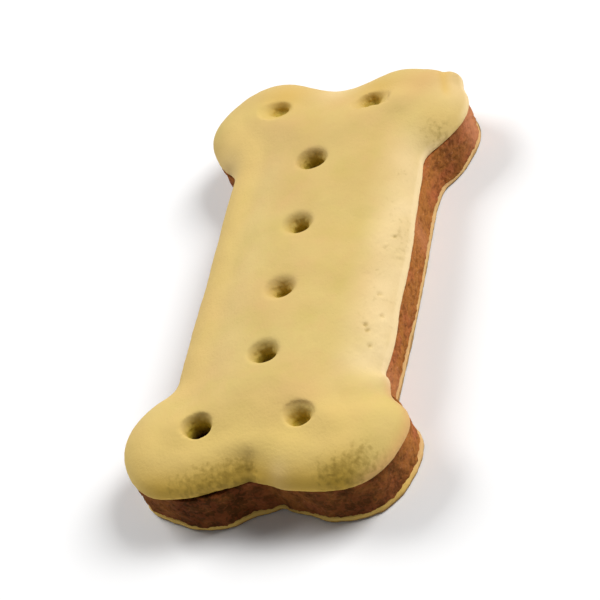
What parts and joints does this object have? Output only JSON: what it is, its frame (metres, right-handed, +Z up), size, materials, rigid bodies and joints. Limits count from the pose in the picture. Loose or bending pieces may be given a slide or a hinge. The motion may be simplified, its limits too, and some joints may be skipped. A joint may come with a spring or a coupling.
{
  "type": "dog biscuit",
  "caption": "Bone-shaped sandwich dog biscuit with a pillowed, docked top dough, a meaty filling and a thin base dough.",
  "frame": {"origin": "middle of the flat underside, on the surface the biscuit lies on", "axes": "+X along the bone, towards the end that is nearest in the picture; +Y across it, towards the picture's right; +Z up through the layers"},
  "size_m": [0.0576, 0.0313, 0.0101],
  "materials": {
    "top_dough": "matte baked dough",
    "meat_filling": "matte porous baked meat dough",
    "base_dough": "matte baked dough"
  },
  "bodies": {
    "root": {"top_biscuit": "top_dough", "filling": "meat_filling", "base_biscuit": "base_dough"}
  },
  "joints": []
}
